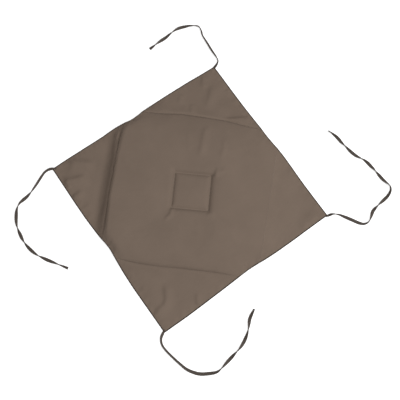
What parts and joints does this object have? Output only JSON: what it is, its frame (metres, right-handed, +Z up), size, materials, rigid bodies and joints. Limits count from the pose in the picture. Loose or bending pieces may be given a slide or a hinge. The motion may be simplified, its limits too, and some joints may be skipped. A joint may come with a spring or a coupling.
{
  "type": "chair seat pad",
  "caption": "Square quilted chair seat pad whose unpadded corner flaps fold down over the seat's edges and end in long cloth ties.",
  "frame": {"origin": "centre of the pad's underside, on the surface that the pad lies on", "axes": "+Z up, out of the pad's face; +Y towards the back flap; +X towards the right flap. The seams of the flaps are parallel to X and Y, so the square cover's corners are on the axes."},
  "size_m": [0.8378, 0.8218, 0.028],
  "materials": {
    "cover_cloth": "plain-weave polyester, matt, taupe",
    "turned_edge": "the same cloth, turned in and sewn, darker along the fold",
    "tie_tape": "narrow folded tape, matt, darker taupe",
    "sewing_thread": "polyester thread, slight sheen",
    "wadding": "white polyester wadding"
  },
  "bodies": {
    "pad": {"top_cover": "cover_cloth", "bottom_cover": "cover_cloth", "filling": "wadding", "quilt_needle_thread": "sewing_thread", "quilt_bobbin_thread": "sewing_thread", "front_right_pad_edge_seam": "turned_edge", "back_right_pad_edge_seam": "turned_edge", "back_left_pad_edge_seam": "turned_edge", "front_left_pad_edge_seam": "turned_edge", "front_seam_thread": "sewing_thread", "right_seam_thread": "sewing_thread", "back_seam_thread": "sewing_thread", "left_seam_thread": "sewing_thread"},
    "front_flap": {"front_flap_top_ply": "cover_cloth", "front_flap_bottom_ply": "cover_cloth", "front_flap_edge_seam": "turned_edge", "front_tie": "tie_tape"},
    "right_flap": {"right_flap_top_ply": "cover_cloth", "right_flap_bottom_ply": "cover_cloth", "right_flap_edge_seam": "turned_edge", "right_tie": "tie_tape"},
    "back_flap": {"back_flap_top_ply": "cover_cloth", "back_flap_bottom_ply": "cover_cloth", "back_flap_edge_seam": "turned_edge", "back_tie": "tie_tape"},
    "left_flap": {"left_flap_top_ply": "cover_cloth", "left_flap_bottom_ply": "cover_cloth", "left_flap_edge_seam": "turned_edge", "left_tie": "tie_tape"}
  },
  "joints": [
    {"name": "front_flap_fold", "type": "hinge", "parent": "pad", "child": "front_flap", "pos_m": [0, -0.181, 0.008], "axis": [-1, 0, 0], "range_deg": [-100, 110]},
    {"name": "right_flap_fold", "type": "hinge", "parent": "pad", "child": "right_flap", "pos_m": [0.181, 0, 0.008], "axis": [0, -1, 0], "range_deg": [-100, 110]},
    {"name": "back_flap_fold", "type": "hinge", "parent": "pad", "child": "back_flap", "pos_m": [0, 0.181, 0.008], "axis": [1, 0, 0], "range_deg": [-100, 110]},
    {"name": "left_flap_fold", "type": "hinge", "parent": "pad", "child": "left_flap", "pos_m": [-0.181, 0, 0.008], "axis": [0, 1, 0], "range_deg": [-100, 110]}
  ]
}
